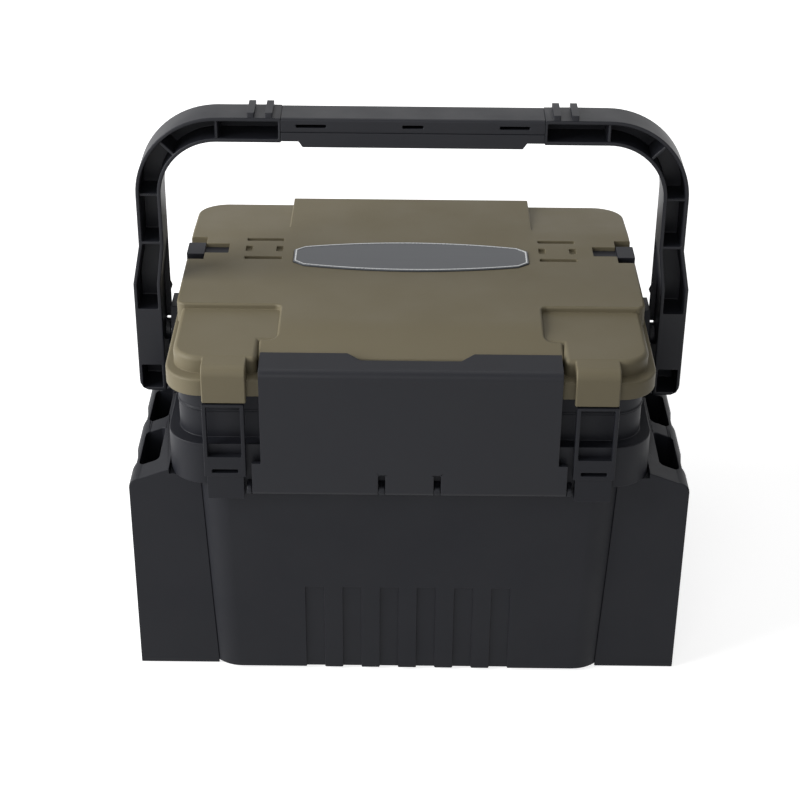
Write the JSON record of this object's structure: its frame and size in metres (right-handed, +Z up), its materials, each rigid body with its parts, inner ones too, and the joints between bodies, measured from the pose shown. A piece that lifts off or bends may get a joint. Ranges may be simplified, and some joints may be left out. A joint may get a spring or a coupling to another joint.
{
  "type": "fishing crate",
  "caption": "Lidded fishing crate for a kayak with a swinging carry handle, a wide front latch, rod stand sockets, side tool racks and a lift-out tray.",
  "frame": {"origin": "on the ground, under the middle of the whole crate with its racks", "axes": "+X to the right seen from the front, +Y to the back, +Z up; the front latch faces -Y"},
  "size_m": [0.448, 0.31, 0.4395],
  "materials": {
    "tub_plastic": "fine grained",
    "lid_plastic": "fine grained",
    "handle_plastic": "satin",
    "badge_plastic": "satin",
    "rubber": "matt",
    "steel": "brushed",
    "tray_plastic": "satin"
  },
  "bodies": {
    "tub": {"crate_body": "tub_plastic", "rack_screws": "steel", "tower_screws": "steel", "latch_hinge_pin": "steel", "front_left_foot": "rubber", "front_right_foot": "rubber", "rear_left_foot": "rubber", "rear_right_foot": "rubber", "left_side_rack": "tub_plastic", "right_side_rack": "tub_plastic", "left_rod_socket": "tub_plastic", "right_rod_socket": "tub_plastic", "left_pivot_tower": "tub_plastic", "right_pivot_tower": "tub_plastic", "left_lid_hinge_pin": "steel", "right_lid_hinge_pin": "steel"},
    "lid": {"lid_shell": "lid_plastic", "lid_badge": "badge_plastic"},
    "left_stopper": {"left_handle_stopper": "tub_plastic"},
    "right_stopper": {"right_handle_stopper": "tub_plastic"},
    "latch": {"front_latch": "handle_plastic"},
    "carrier": {"left_pivot_pin": "steel", "right_pivot_pin": "steel", "left_pivot_clip": "steel", "right_pivot_clip": "steel", "left_pivot_washer": "steel", "right_pivot_washer": "steel"},
    "handle": {"handle_frame": "handle_plastic", "grip_upper_shell": "handle_plastic", "grip_lower_shell": "handle_plastic"},
    "tray": {"lift_out_tray": "tray_plastic", "left_tray_divider": "tray_plastic", "right_tray_divider": "tray_plastic"}
  },
  "joints": [
    {"name": "lid_hinge", "type": "hinge", "parent": "tub", "child": "lid", "pos_m": [0, 0.149, 0.284], "axis": [1, 0, 0], "range_deg": [-100, 0]},
    {"name": "handle_follow", "type": "hinge", "parent": "tub", "child": "carrier", "pos_m": [0, 0.005, 0.241], "axis": [1, 0, 0], "range_deg": [-100, 0]},
    {"name": "handle_swing", "type": "hinge", "parent": "carrier", "child": "handle", "pos_m": [0, 0.005, 0.241], "axis": [-1, 0, 0], "range_deg": [-95, 95]},
    {"name": "latch_hinge", "type": "hinge", "parent": "tub", "child": "latch", "pos_m": [0, -0.151, 0.184], "axis": [1, 0, 0], "range_deg": [0, 165]},
    {"name": "left_stopper_slide", "type": "slide", "parent": "lid", "child": "left_stopper", "axis": [-1, 0, 0], "range_m": [0, 0.018]},
    {"name": "right_stopper_slide", "type": "slide", "parent": "lid", "child": "right_stopper", "axis": [1, 0, 0], "range_m": [0, 0.018]},
    {"name": "tray_lift", "type": "slide", "parent": "tub", "child": "tray", "axis": [0, 0, 1], "range_m": [0, 0.048]}
  ],
  "couplings": [
    {"joint": "handle_follow", "follows": "lid_hinge", "ratio": 1}
  ]
}
